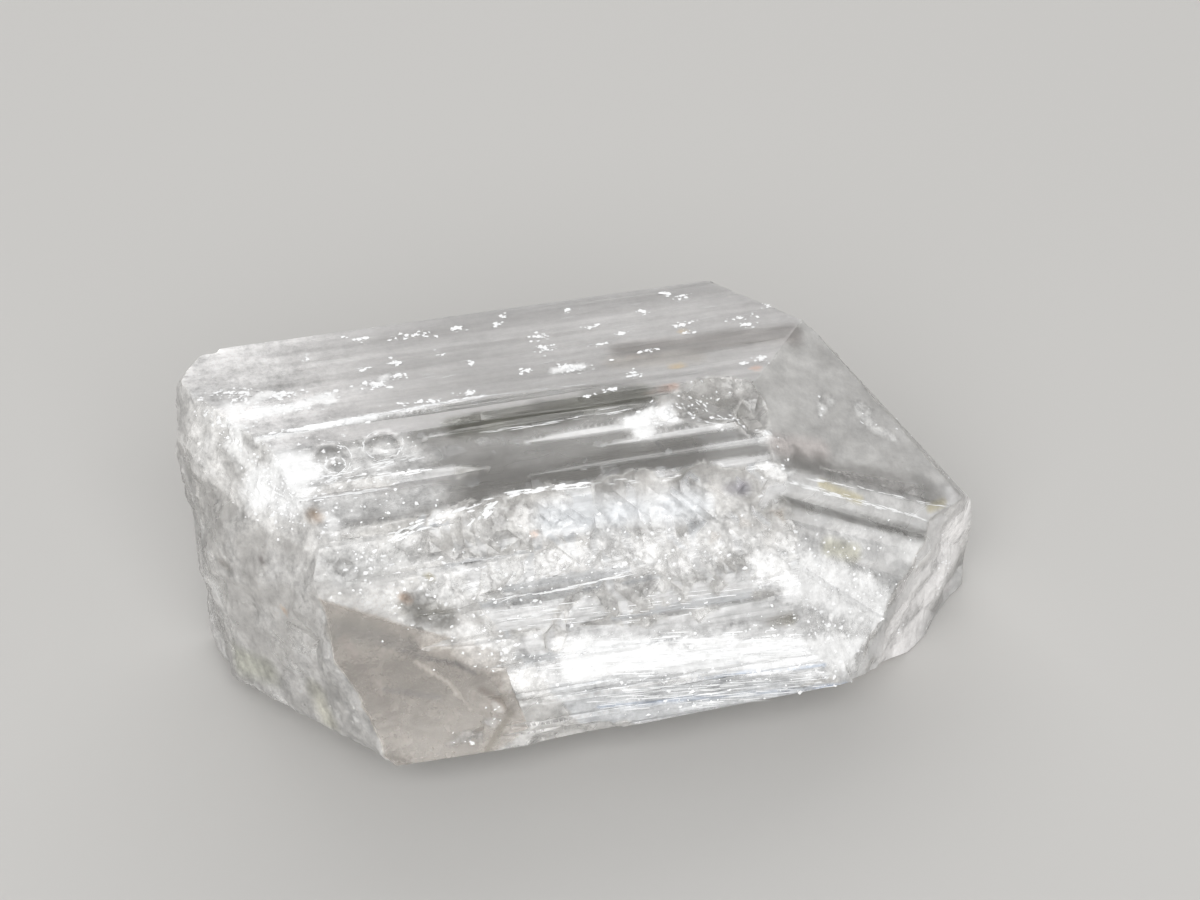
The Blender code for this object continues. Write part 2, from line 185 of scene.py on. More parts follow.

# Stains, painted shade and painted light: the same kind of stroke, with the colour that light takes on
# there.
STAINS_AND_PAINTED_LIGHT = (
    # Painted shade: the dark olive tint where the open groove on the upper face shows the dark beneath it.
    ((-6.9, -0.52, 15.0), (1.6, -0.12, 15.0), 0.58, (0.30, 0.30, 0.25)),
    ((1.5, 3.2, 15.0), (9.4, 2.7, 15.0), 0.6, (0.70, 0.66, 0.645)),
    ((1.8, -0.2, 15.0), (3.2, 0.1, 15.0), 0.18, (0.90, 0.68, 0.60)),
    ((7.9, -3.5, 12.6), (15.2, -2.2, 8.2), 0.50, (0.76, 0.745, 0.73)),
    ((6.3, -5.2, 12.1), (14.4, -3.7, 7.0), 0.24, (0.70, 0.69, 0.67)),
    ((-13.6, -6.2, 9.2), (-12.4, -6.4, 8.9), 0.55, (0.60, 0.57, 0.52)),
    ((10.8, -5.8, 7.4), (13.6, -5.4, 5.4), 0.12, (0.66, 0.72, 0.74)),
    ((9.0, -4.0, 11.4), (11.0, -3.8, 9.9), 0.20, (0.86, 0.80, 0.60)),
    ((-4.5, -4.9, 11.8), (-4.4, -4.9, 11.8), 0.14, (0.95, 0.62, 0.45)),
    ((-5.9, -3.7, 13.7), (-5.7, -3.7, 13.7), 0.20, (0.72, 0.64, 0.42)),
    ((0.3, -4.7, 12.1), (0.4, -4.7, 12.1), 0.10, (0.95, 0.66, 0.50)),
    ((3.6, -0.85, 14.8), (3.7, -0.85, 14.8), 0.12, (0.92, 0.66, 0.52)),
    ((14.8, -2.8, 7.9), (15.6, -2.5, 7.8), 0.22, (0.88, 0.82, 0.62)),
    ((9.0, -5.6, 9.0), (10.3, -5.3, 8.1), 0.40, (0.90, 0.885, 0.77)),
    ((6.0, -6.2, 10.9), (6.8, -5.9, 10.4), 0.25, (0.72, 0.72, 0.55)),
    ((5.6, -8.2, 7.3), (6.6, -8.1, 7.2), 0.3, (0.60, 0.56, 0.46)),
    # Painted light: blue tints on the front band's stripes, the blue of daylight through the crystal.
    ((-2.5, -8.9, 4.6), (9.5, -9.1, 3.6), 0.10, (0.66, 0.74, 0.88)),
    ((0.5, -8.8, 5.3), (9.0, -8.9, 4.8), 0.07, (0.70, 0.77, 0.88)),
    ((-3.5, -8.5, 5.9), (4.0, -8.6, 5.7), 0.06, (0.74, 0.80, 0.90)),
    ((-10.4, -6.2, 9.8), (-8.9, -6.6, 9.3), 0.5, (0.62, 0.60, 0.56)),
    ((-14.0, -3.2, 13.4), (-13.8, -3.4, 13.2), 0.28, (0.50, 0.40, 0.32)),
    ((-12.8, -6.4, 8.8), (-9.8, -7.3, 7.6), 0.09, (0.58, 0.54, 0.51)),
    ((-11.9, -7.6, 6.5), (-9.6, -8.0, 5.9), 0.12, (0.62, 0.58, 0.55)),
    ((-9.8, -7.3, 7.6), (-8.7, -7.5, 7.3), 0.10, (0.45, 0.42, 0.40)),
    ((-8.7, -7.5, 7.3), (-7.9, -7.8, 6.8), 0.10, (0.45, 0.42, 0.40)),
    ((-7.7, -8.1, 6.1), (-6.9, -8.4, 5.5), 0.14, (0.50, 0.44, 0.39)),
    ((-6.9, -8.4, 5.5), (-6.5, -8.7, 4.9), 0.16, (0.50, 0.44, 0.39)),
    ((-6.5, -8.7, 4.9), (-7.7, -9.2, 3.4), 0.16, (0.52, 0.47, 0.40)),
    ((-13.8, -6.2, 9.4), (-10.4, -6.9, 8.2), 0.28, (0.62, 0.58, 0.54)),
    ((-13.4, -6.5, 8.8), (-11.4, -8.6, 4.6), 0.22, (0.70, 0.63, 0.58)),
    ((-17.4, -2.2, 8.1), (-17.3, -2.3, 8.0), 0.22, (0.50, 0.48, 0.46)),
    ((-15.2, -3.2, 10.8), (-15.1, -3.2, 10.7), 0.18, (0.50, 0.46, 0.44)),
    ((-15.6, -5.6, 8.0), (-15.4, -5.6, 7.9), 0.28, (0.50, 0.48, 0.44)),
    ((-10.6, -5.9, 10.2), (-10.4, -6.0, 10.1), 0.20, (0.62, 0.44, 0.32)),
    ((4.2, -4.6, 12.4), (5.2, -4.5, 12.3), 0.35, (0.55, 0.53, 0.58)),
    # Foot: near-white colour, partly its milky tone and partly painted light where it lies in shade.
    ((13.0, -4.6, 1.5), (16.6, -1.8, 4.5), 2.6, (1.00, 0.98, 0.975)),
    # Painted sheen: a blue-white tint on the smooth middle of the sloped face.
    ((-3.6, -4.6, 12.3), (3.0, -4.9, 12.0), 0.8, (0.93, 0.95, 0.975)),
    ((-17.5, -0.3, 3.0), (-16.5, -2.1, 3.8), 0.8, (0.80, 0.80, 0.70)),
    ((-14.9, -4.9, 4.4), (-14.2, -5.6, 3.4), 0.6, (0.82, 0.80, 0.70)),
    ((-17.9, 0.0, 8.9), (-17.7, -0.6, 8.9), 0.20, (0.62, 0.59, 0.56)),
    ((-15.7, -3.5, 8.7), (-15.5, -3.8, 8.5), 0.10, (0.98, 0.72, 0.52)),
    ((-16.4, -2.3, 10.6), (-16.3, -2.5, 10.5), 0.12, (0.52, 0.48, 0.47)),
    ((-9.4, -5.5, 10.9), (-9.3, -5.6, 10.8), 0.16, (0.60, 0.56, 0.45)),
    ((-13.2, -4.9, 11.5), (-10.6, -4.9, 11.6), 0.9, (0.85, 0.845, 0.835)),
    ((7.2, -3.1, 13.2), (9.4, -2.6, 12.2), 0.55, (0.80, 0.745, 0.725)),
    ((3.5, 1.5, 15.0), (3.8, 1.5, 15.0), 0.20, (0.95, 0.76, 0.50)),
    ((4.5, 4.0, 15.0), (4.6, 4.0, 15.0), 0.16, (0.95, 0.80, 0.60)),
    ((7.0, 0.5, 15.0), (7.2, 0.5, 15.0), 0.16, (0.95, 0.70, 0.60)),
    ((1.6, 2.6, 15.0), (2.0, 2.6, 15.0), 0.16, (0.92, 0.68, 0.52)),
    ((1.0, 2.4, 15.0), (4.6, 2.0, 15.0), 0.50, (0.74, 0.70, 0.665)),
)

# White chips on the upper face that paint the glints of its shallow pits: centre, half length along x, half
# width, how many.
PIT_GLINT_FLECKS = (
    (-10.4, 4.5, 0.22, 0.2, 8), (-10.0, 3.3, 0.5, 0.3, 22), (-8.8, 4.7, 0.35, 0.25, 14),
    (-8.8, 3.7, 0.4, 0.3, 16), (-8.4, 1.5, 0.9, 0.22, 16), (-1.1, 2.4, 0.85, 0.42, 34),
    (-1.9, 4.2, 0.5, 0.3, 14), (-2.0, 5.1, 0.45, 0.25, 12), (-3.1, 2.7, 0.4, 0.3, 10),
    (-3.3, 7.1, 0.2, 0.2, 6), (-3.7, 6.5, 0.3, 0.25, 8), (-7.5, 6.6, 1.0, 0.25, 16),
    (-10.1, 6.9, 0.5, 0.25, 10), (-5.7, 6.6, 0.4, 0.2, 8), (1.5, 1.3, 0.4, 0.25, 14),
    (0.2, 0.45, 0.45, 0.14, 10), (-0.8, 0.15, 0.5, 0.14, 10), (0.6, 3.9, 0.5, 0.12, 10),
    (1.8, 4.5, 0.4, 0.14, 8), (0.5, 5.3, 0.35, 0.2, 8), (4.7, 4.5, 0.6, 0.25, 14),
    (4.7, 3.9, 0.3, 0.15, 5), (2.7, 3.0, 0.4, 0.15, 7), (5.2, 6.7, 0.35, 0.2, 8),
    (7.5, 4.4, 0.6, 0.16, 10), (7.5, 3.8, 0.6, 0.16, 10), (7.6, 1.15, 0.4, 0.3, 12),
    (6.6, 0.9, 0.25, 0.16, 5), (4.5, 7.1, 0.25, 0.2, 5), (-0.2, 6.9, 0.3, 0.25, 7),
    (-6.0, 1.7, 0.35, 0.2, 8), (-14.1, 3.5, 1.0, 0.25, 22), (-16.4, 4.2, 0.9, 0.35, 24),
    (-17.9, 2.4, 0.7, 0.7, 30), (-12.0, 3.1, 0.3, 0.2, 6), (-5.4, 3.9, 0.2, 0.2, 4),
    (9.0, 5.2, 0.4, 0.3, 5), (-12.6, 5.9, 0.4, 0.3, 7), (3.2, 5.9, 0.3, 0.2, 4),
    (-6.6, 4.9, 0.2, 0.2, 4),
)

# Bright lines along the grain, drawn as white slivers that paint highlights, such as the lit wall of the
# groove on the upper face and the bright striations of the front band: start, end, spread, and the slivers'
# half length, half width and number.
GLINTS = (
    ((-15.6, 0.72, 15.0), (-10.5, 1.08, 15.0), 0.10, 0.28, 0.06, 130),
    ((-10.5, 1.08, 15.0), (-5.4, 1.38, 15.0), 0.06, 0.30, 0.035, 70),
    ((3.2, -0.9, 14.8), (4.7, -2.1, 14.1), 0.16, 0.16, 0.04, 26),
    ((5.3, -1.5, 14.4), (6.9, -2.9, 13.6), 0.14, 0.18, 0.05, 30),
    ((4.1, -0.7, 14.9), (5.1, -1.7, 14.3), 0.12, 0.14, 0.04, 18),
    ((-13.4, -1.9, 14.2), (-9.0, -1.6, 14.4), 0.35, 0.40, 0.025, 50),
    ((-10.8, -4.4, 12.4), (-7.5, -3.8, 13.1), 0.20, 0.55, 0.10, 26),
    ((-7.2, -4.3, 12.3), (-5.7, -3.8, 13.1), 0.18, 0.40, 0.09, 16),
    ((-5.3, -3.6, 13.3), (-1.8, -3.7, 13.2), 0.08, 0.45, 0.05, 26),
    ((6.9, -4.5, 12.4), (14.7, -3.2, 7.5), 0.10, 0.50, 0.030, 60),
    ((8.5, -3.9, 11.7), (15.6, -2.6, 7.7), 0.06, 0.50, 0.020, 40),
    ((-5.4, 1.3, 15.0), (-1.0, 1.1, 15.0), 0.03, 0.50, 0.018, 16),
    ((-14.3, -2.6, 13.8), (-10.6, -2.6, 13.8), 0.10, 0.50, 0.05, 26),
    ((-11.4, -2.1, 14.1), (-8.6, -2.2, 14.1), 0.12, 0.45, 0.035, 22),
    ((-6.5, -1.0, 14.8), (1.0, -0.9, 14.8), 0.16, 0.60, 0.018, 30),
    ((-7.6, -4.1, 13.1), (-3.5, -3.9, 13.4), 0.10, 0.45, 0.05, 30),
    ((-3.5, -3.95, 13.3), (6.2, -4.1, 13.0), 0.12, 0.40, 0.025, 30),
    ((-6.3, -6.45, 9.6), (-0.8, -6.3, 9.8), 0.10, 0.60, 0.04, 34),
    # Painted highlight: bright striations of the front band, where light passes through the crystal.
    ((-4.0, -8.3, 7.2), (9.8, -8.6, 5.6), 0.80, 0.80, 0.040, 260),
    ((-2.5, -8.9, 5.0), (9.5, -9.1, 3.8), 0.80, 0.90, 0.022, 200),
    ((-6.0, -7.2, 9.0), (4.0, -7.5, 8.6), 0.70, 0.60, 0.020, 70),
    ((-13.5, 3.0, 15.0), (8.0, 5.0, 15.0), 2.20, 0.50, 0.010, 60),
)

# Beyond this x a steep little wall on the tip counts as part of the tip's front face.
FAN_START = 6.75

# Direction of the grain of the grown faces.
GRAIN = np.array((1.0, 0.0, 0.0))

# Ring marks near the left end: centre and radius.
RING_MARKS = (((-12.8, -1.3, 14.6), 0.95), ((-10.4, -1.0, 14.7), 0.90), ((-12.6, -1.5, 14.5), 0.45))

# How milky each kind of face is, before the zones. A later kind wins where two meet, and the value marked
# "other", here and below, is for the rest of the surface.
FACE_MILK = {
    "back": 0.26,
    "top": 0.46,
    "shoulder": 0.20,
    "slope": 0.52,
    "front": 0.50,
    "tip_top": 0.60,
    "tip_front": 0.58,
    "tip_low": 0.60,
    "wedge": 0.30,
    "broken": 0.46,
}
OTHER_MILK = 0.20

# How rough each kind of face is.
FACE_FROST = {
    "top": 0.42,
    "shoulder": 0.25,
    "slope": 0.22,
    "front": 0.18,
    "tip_top": 0.48,
    "tip_front": 0.28,
    "wedge": 0.16,
    "broken": 0.28,
}
OTHER_FROST = 0.22

# Colour that light takes on at each kind of face, before the stains.
FACE_COLOURS = {
    "top": (0.77, 0.752, 0.748),
    "shoulder": (0.82, 0.81, 0.80),
    "slope": (0.955, 0.95, 0.95),
    # The front face's blue tint is painted light, the blue of daylight through the crystal.
    "front": (0.90, 0.915, 0.94),
    "tip_top": (0.75, 0.74, 0.725),
    "tip_front": (0.95, 0.945, 0.94),
    "tip_low": (0.95, 0.92, 0.92),
    "broken": (0.955, 0.935, 0.91),
    "wedge": (0.74, 0.68, 0.62),
}
OTHER_COLOUR = (0.94, 0.93, 0.925)

# Each part of the colour where the surface is crushed.
CRUSHED_COLOUR = 0.99

# Heights of the fine relief.
STRIPE_HEIGHT = 0.006
CALM_STRIPE_HEIGHT = 0.002
SWELL_HEIGHT = 0.05
FROST_HEIGHT = 0.008
CRUSH_HEIGHT = 0.07
RING_DEPTH = 0.03
EDGE_WEAR = 0.03

# Shards of the breaks: height, size and shift of the pattern. Beyond FOOT_X they are lower.
BREAK_SHARDS = ((0.065, 1.0, 3.0), (0.035, 0.4, 17.0))
FOOT_RELIEF = 0.3

# Half width of a ring mark, and the most reach of a zone that keeps a smooth outline.
RING_WIDTH = 0.13
THIN_ZONE = 0.3

# The glass, its fine bump in metres, and the white of the chips.
IOR = 1.633
ABSORPTION_COLOUR = (0.70, 0.70, 0.69, 1)
ABSORPTION_DENSITY = 50.0
BUMP_STRENGTH = 0.8
BUMP_DISTANCE = 0.00009
CHIP_COLOUR = (0.97, 0.975, 0.98, 1)

# Chips: height over the surface, and how far a spot and a chip's end may be from it. Cracks: how deep they
# lie, and how far inside the surface they stay.
CHIP_LIFT = 0.012
CHIP_REACH = 1.5
CHIP_OVERHANG = 0.09
CRACK_DEPTH = (0.1, 1.6)
CRACK_MARGIN = 0.04

# Lights: name, place and size in metres, power in watts, colour. All point at the middle of the crystal.
LIGHTS = (
    ("window", (0.08, 0.46, 0.33), (0.70, 0.40), 1.35, (0.99, 0.99, 0.985)),
    ("front", (-0.12, -0.44, 0.40), (0.60, 0.40), 3.2, (0.98, 0.985, 0.985)),
)
LIGHT_TARGET = (0, 0, 0.008)

# Background and floor. The floor's half side, and how far it lies below the crystal, are in metres.
BACKGROUND_COLOUR = (0.99, 0.985, 0.975, 1)
BACKGROUND_STRENGTH = 0.38
FLOOR_COLOUR = (0.58, 0.57, 0.555, 1)
FLOOR_ROUGHNESS = 0.75
FLOOR_HALF = 1.5
FLOOR_DROP = 0.00005


def face_normal(hkl):
    """Outward normal of the face with these Miller indices, with the c axis along x."""
    roll = math.atan2(2 / CELL[1], 1 / CELL[0])
    a_axis = Vector((0, math.sin(roll), math.cos(roll)))
    b_axis = Vector((0, -math.cos(roll), math.sin(roll)))
    c_axis = Vector((1, 0, 0))
    h, k, l = hkl
    return (a_axis * h / CELL[0] + b_axis * k / CELL[1] + c_axis * l / CELL[2]).normalized()


NORMALS = {name: face_normal(hkl) for name, hkl in FACES.items()}


def cad_bmesh():
    """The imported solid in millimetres, with its flat faces whole again."""
    bm = bmesh.new()
    bm.from_mesh(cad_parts[NODE].data)
    bmesh.ops.scale(bm, vec=(1 / MM,) * 3, verts=bm.verts)
    bmesh.ops.remove_doubles(bm, verts=bm.verts, dist=WELD)
    bmesh.ops.dissolve_limit(bm, angle_limit=math.radians(0.3), verts=bm.verts, edges=bm.edges)
    return bm


def split_edges(bm, step):
    """Splits every edge into equal stretches of about one step."""
    by_cuts = {}
    for edge in bm.edges:
        cuts = int(edge.calc_length() / step)
        if cuts:
            by_cuts.setdefault(cuts, []).append(edge)
    for cuts, edges in sorted(by_cuts.items()):
        bmesh.ops.bisect_edges(bm, edges=edges, cuts=cuts)


def face_kind(normal, centre):
    """Name of the flat face with this normal, of the face that a groove's wall is in, or a break."""
    for name, expected in NORMALS.items():
        if normal.dot(expected) > FLAT_MATCH:
            return name
    if normal.dot(WEDGE_NORMAL) > FLAT_MATCH:
        return "wedge"
    if abs(normal.x) < GROOVE_LEAN:
        nearest = max(GROWN, key=lambda name: normal.dot(NORMALS[name]))
        if normal.dot(NORMALS[nearest]) > GROOVE_MATCH:
            return nearest
    if centre.x > FAN_START and normal.dot(NORMALS["tip_front"]) > GROOVE_MATCH:
        return "tip_front"
    return "broken"


def steps_for(kind):
    """Spacing of the fine mesh along x and across it."""
    if kind in HIDDEN:
        return HIDDEN_STEP, HIDDEN_STEP
    if kind in ("slope", "front"):
        return FINE_ALONG, FACE_STEP
    if kind in GROWN:
        return GRAIN_ALONG, GRAIN_ACROSS
    return FACE_STEP, FACE_STEP


def points_inside(points, polygon, margin):
    """Which points are inside a polygon and at least a margin from its sides."""
    inside = np.zeros(len(points), bool)
    clear = np.ones(len(points), bool)
    for (ax, ay), (bx, by) in zip(polygon, np.roll(polygon, -1, axis=0)):
        crosses = (ay > points[:, 1]) != (by > points[:, 1])
        slope = (bx - ax) / (by - ay) if by != ay else 0.0
        inside ^= crosses & (points[:, 0] < ax + (points[:, 1] - ay) * slope)
        side = np.array((bx - ax, by - ay))
        share = np.clip(((points - (ax, ay)) @ side) / max(side @ side, 1e-12), 0, 1)
        nearest = np.array((ax, ay)) + share[:, None] * side
        clear &= ((points - nearest) ** 2).sum(1) > margin * margin
    return inside & clear


def inner_points(flat, along, across, rng):
    """Points of a brick pattern inside a flat outline, a little uneven along its rows."""
    low, high = flat.min(0), flat.max(0)
    found = []
    for number, row in enumerate(np.arange(low[1] + across * 0.5, high[1], across)):
        start = low[0] + along * (0.25 + 0.5 * (number % 2))
        for column in np.arange(start, high[0], along):
            found.append((column + rng.uniform(-0.1, 0.1) * along, row))
    if not found:
        return []
    found = np.array(found)
    return found[points_inside(found, flat, 0.4 * min(along, across))]


def fill_face(points, normal, kind, rng):
    """Triangles over one flat face, with points inside it at the spacing that its grain needs."""
    guide = Vector((1, 0, 0)) if abs(normal.x) < 0.9 else Vector((0, 1, 0))
    x_axis = (guide - normal * guide.dot(normal)).normalized()
    y_axis = normal.cross(x_axis)
    origin = points[0]
    flat = [Vector(((p - origin).dot(x_axis), (p - origin).dot(y_axis))) for p in points]
    count = len(flat)
    flat += [Vector(p) for p in inner_points(np.array(flat), *steps_for(kind), rng)]
    rim = [(i, (i + 1) % count) for i in range(count)]
    verts, _, faces, sources, _, _ = delaunay_2d_cdt(flat, rim, [], 1, 1e-5)
    return [origin + x_axis * v.x + y_axis * v.y for v in verts], faces, sources


def fine_mesh(bm):
    """A fine triangle mesh over the same faces: places, triangles and each triangle's face kind."""
    split_edges(bm, EDGE_STEP)
    bm.verts.index_update()
    rng = random.Random(5)
    places = [v.co.copy() for v in bm.verts]
    triangles, kinds = [], []
    for face in bm.faces:
        kind = face_kind(face.normal, face.calc_center_median())
        loop = [v.index for v in face.verts]
        found, faces, sources = fill_face([v.co for v in face.verts], face.normal, kind, rng)
        index = []
        for place, source in zip(found, sources):
            rim = [s for s in source if s < len(loop)]
            if rim:
                index.append(loop[rim[0]])
            else:
                index.append(len(places))
                places.append(place)
        for tri in faces:
            corners = [index[i] for i in tri]
            if len(set(corners)) == 3:
                triangles.append(corners)
                kinds.append(kind)
    return np.array([tuple(p) for p in places]), np.array(triangles), np.array(kinds)


def crumbled(places, triangles, kinds):
    """Counts the crumbled part of the sloped and front faces as broken."""
    centres = wandered(places)[triangles].mean(1)
    left = centres[:, 0] < CRUMBLED_X + CRUMBLED_LEAN * (CRUMBLED_Z - centres[:, 2])
    return np.where(left & np.isin(kinds, ("slope", "front")), "broken", kinds)


def triangle_normals(places, triangles):
    """Twice-area normals of the triangles."""
    a, b, c = (places[triangles[:, i]] for i in range(3))
    return np.cross(b - a, c - a)


def unit(vectors):
    """The same directions, one unit long."""
    return vectors / np.maximum(np.linalg.norm(vectors, axis=-1, keepdims=True), 1e-12)


def vertex_normals(places, triangles):
    """Normals at the vertices, from the triangles round each."""
    total = np.zeros_like(places)
    normals = triangle_normals(places, triangles)
    for corner in range(3):
        np.add.at(total, triangles[:, corner], normals)
    return unit(total)


def edge_sharpness(places, triangles, normals):
    """How far the faces at each vertex turn away from its normal: 0 on a flat face, up to 1."""
    turned = 1 - (unit(triangle_normals(places, triangles))[:, None] * normals[triangles]).sum(2)
    worst = np.zeros(len(places))
    np.maximum.at(worst, triangles.ravel(), turned.ravel())
    return np.clip(worst * 4, 0, 1)


def stroke_mask(places, start, end, radius, fade=0.6):
    """1 along a line, and down to 0 beyond a radius round it."""
    start, line = np.array(start), np.array(end) - np.array(start)
    share = np.clip((places - start) @ line / max(line @ line, 1e-9), 0, 1)
    reach = np.linalg.norm(places - start - share[:, None] * line, axis=1) / radius
    return np.clip((1 + fade / 2 - reach) / fade, 0, 1)


def ring_mask(places, centre, radius):
    """1 along a ring round a centre, and down to 0 on both sides of it."""
    away = np.abs(np.linalg.norm(places - centre, axis=1) - radius)
    return np.clip(1.3 - away / RING_WIDTH, 0, 1)


def zone_mask(places, moved, start, end, radius, fade):
    """A stroke's mask, with an uneven outline unless the stroke is thin."""
    return stroke_mask(moved if radius > THIN_ZONE else places, start, end, radius, fade)


def noise_at(places, size, octaves=1, shift=0.0):
    """Noise from about -1 to 1 at each place, with lumps of a given size in x, y and z."""
    scaled = places / np.array(size) + shift
    if octaves == 1:
        return np.array([noise.noise(Vector(p)) for p in scaled])
    return np.array([noise.fractal(Vector(p), 0.8, 2.1, octaves) for p in scaled])


def shard_height(places, size, shift):
    """Flat little shards tilted every way, as a broken surface has: about -1 to 1."""
    height = np.zeros(len(places))
    for number, place in enumerate(places / np.array(size) + shift):
        near = noise.voronoi(Vector(place))[1][0]
        tilt = noise.cell_vector(near * 7.3)
        height[number] = (Vector(place) - near).dot(tilt - Vector((0.5, 0.5, 0.5))) * 2
    return height


def relief(places, normals, at, crushed):
    """Height of the fine relief at each vertex, in millimetres."""
    height = np.zeros(len(places))
    flat = np.array([NORMALS[name] for name in GROWN])
    grown = at["grown"] & ((normals @ flat.T).max(1) > 0.998)
    stripes = noise_at(places[grown], (16.0, 0.34, 0.34)) + 0.6 * noise_at(places[grown], (7.0, 0.8, 0.8))
    height[grown] += np.where(at["calm"][grown], CALM_STRIPE_HEIGHT, STRIPE_HEIGHT) * stripes
    rough = at["broken"]
    height[rough] += SWELL_HEIGHT * noise_at(places[rough], (1.3, 1.3, 1.3), 4, 9.0)
    for share, size, shift in BREAK_SHARDS:
        height[rough] += share * shard_height(places[rough], (size, size, size), shift)
    height[rough & (places[:, 0] > FOOT_X)] *= FOOT_RELIEF
    frosted = at["tip"]
    height[frosted] += FROST_HEIGHT * noise_at(places[frosted], (0.9, 0.9, 0.9), 3, 4.0)
    broken_up = crushed > 0.05
    shards = shard_height(places[broken_up], (0.55, 0.30, 0.30), 6.0)
    height[broken_up] += CRUSH_HEIGHT * crushed[broken_up] * shards
    for centre, radius in RING_MARKS:
        height -= RING_DEPTH * ring_mask(places, centre, radius)
    height[at["wedge"]] = 0.0
    return height


def kinds_by_vertex(count, triangles, kinds):
    """Which vertices touch each kind of face, and each group of kinds."""
    groups = {
        "grown": GROWN,
        "calm": ("top", "shoulder", "back"),
        "tip": ("tip_top", "tip_front", "tip_back", "tip_low"),
        "hidden": HIDDEN,
    }
    found = {}
    for name in set(groups) | set(FACES) | {"wedge", "broken"}:
        mask = np.zeros(count, bool)
        mask[triangles[np.isin(kinds, groups.get(name, (name,)))].ravel()] = True
        found[name] = mask
    return found


def wandered(places):
    """The places moved about a little, so that a zone drawn with them has an uneven outline."""
    wide = [noise_at(places, (1.6, 0.9, 0.9), 1, shift) for shift in (2.0, 31.0, 57.0)]
    fine = [noise_at(places, (0.5, 0.3, 0.3), 1, shift) for shift in (5.0, 37.0, 71.0)]
    return places + 0.55 * np.array(wide).T + 0.18 * np.array(fine).T


def by_face(at, count, other, table):
    """A value at each vertex from a table by kind of face."""
    values = np.tile(np.array(other), (count,) + (1,) * np.ndim(other))
    for name, value in table.items():
        values[at[name]] = value
    return values


def milk_and_light_shares(places, at):
    """Milky and crushed share at each vertex, first by face, then by the zones seen on it, some of which
    paint highlights and light as white.
    """
    moved = wandered(places)
    white = by_face(at, len(places), OTHER_MILK, FACE_MILK)
    crush = np.zeros(len(places))
    patchy = noise_at(places[at["broken"]], (2.0, 2.0, 2.0), 3, 12.0)
    patchy *= np.where(places[at["broken"], 0] > FOOT_X, 0.2, 1.0)
    white[at["broken"]] += 0.16 * patchy
    crush[at["broken"]] = 0.42 + 0.30 * patchy
    left = np.clip((-8.0 - moved[:, 0]) / 7, 0, 1) * (places[:, 2] > 12)
    white = white + 0.28 * left
    crush = np.maximum(crush, 0.50 * left)
    for start, end, radius, milk, share in MILK_AND_PAINTED_LIGHT:
        mask = zone_mask(places, moved, start, end, radius, 1.0)
        white = np.maximum(white, milk * mask)
        crush = np.maximum(crush, share * mask)
    for centre, radius in RING_MARKS:
        white = np.maximum(white, ring_mask(places, centre, radius))
        white = white * (1 - 0.5 * ring_mask(places, centre, radius - 0.30))
    for start, end, radius, share in CLEAR:
        mask = 1 - share * zone_mask(places, moved, start, end, radius, 0.9)
        white = white * mask
        crush = crush * mask
    for start, end, radius in SMOOTH:
        crush = crush * (1 - 0.9 * stroke_mask(moved, start, end, radius, 0.9))
    return white, crush


def stain_and_painted_light_colours(places, at, crushed):
    """Colour that light takes on at each vertex: by face, whiter where crushed, then the stains, painted
    shade and painted light.
    """
    colours = by_face(at, len(places), OTHER_COLOUR, FACE_COLOURS)
    colours = colours * (1 + 0.22 * np.clip((-6.0 - places[:, :1]) / 9, 0, 1) * at["top"][:, None])
    bright = np.clip(crushed * 1.6 - 0.55, 0, 1)[:, None]
    colours = colours * (1 - bright) + CRUSHED_COLOUR * bright
    for start, end, radius, colour in STAINS_AND_PAINTED_LIGHT:
        mask = stroke_mask(places, start, end, radius, 1.0)[:, None]
        colours = colours * (1 - mask) + mask * np.array(colour)
    return colours


def speckle(places, at, crushed):
    """How strongly the finest grain shows at each vertex."""
    amount = np.full(len(places), 0.12)
    amount[at["broken"]] = np.where(places[at["broken"], 0] > FOOT_X, 0.1, 0.28)
    amount[at["tip_top"]] = 0.16
    return np.maximum(amount, 0.5 * np.clip(crushed * 2, 0, 1) * np.clip(1.7 - 1.6 * crushed, 0.1, 1))


def add_float(mesh, name, values):
    """Stores a number per vertex for the material."""
    layer = mesh.attributes.new(name, "FLOAT", "POINT")
    layer.data.foreach_set("value", np.asarray(values, np.float32))


def add_colour(mesh, name, values):
    """Stores a colour per vertex for the material."""
    layer = mesh.attributes.new(name, "FLOAT_VECTOR", "POINT")
    layer.data.foreach_set("vector", np.asarray(values, np.float32).ravel())


def keep_edges_sharp(mesh, flat_normals, rough):
    """Marks the edges between flat faces, even at low angles, and the steep ones of the broken zones."""
    bm = bmesh.new()
    bm.from_mesh(mesh)
    for edge in bm.edges:
        if len(edge.link_faces) != 2:
            continue
        first, second = (face.index for face in edge.link_faces)
        if rough[first] and rough[second]:
            edge.smooth = edge.calc_face_angle(0) < math.radians(28)
        else:
            edge.smooth = bool(flat_normals[first] @ flat_normals[second] > math.cos(math.radians(4)))
    bm.to_mesh(mesh)
    bm.free()


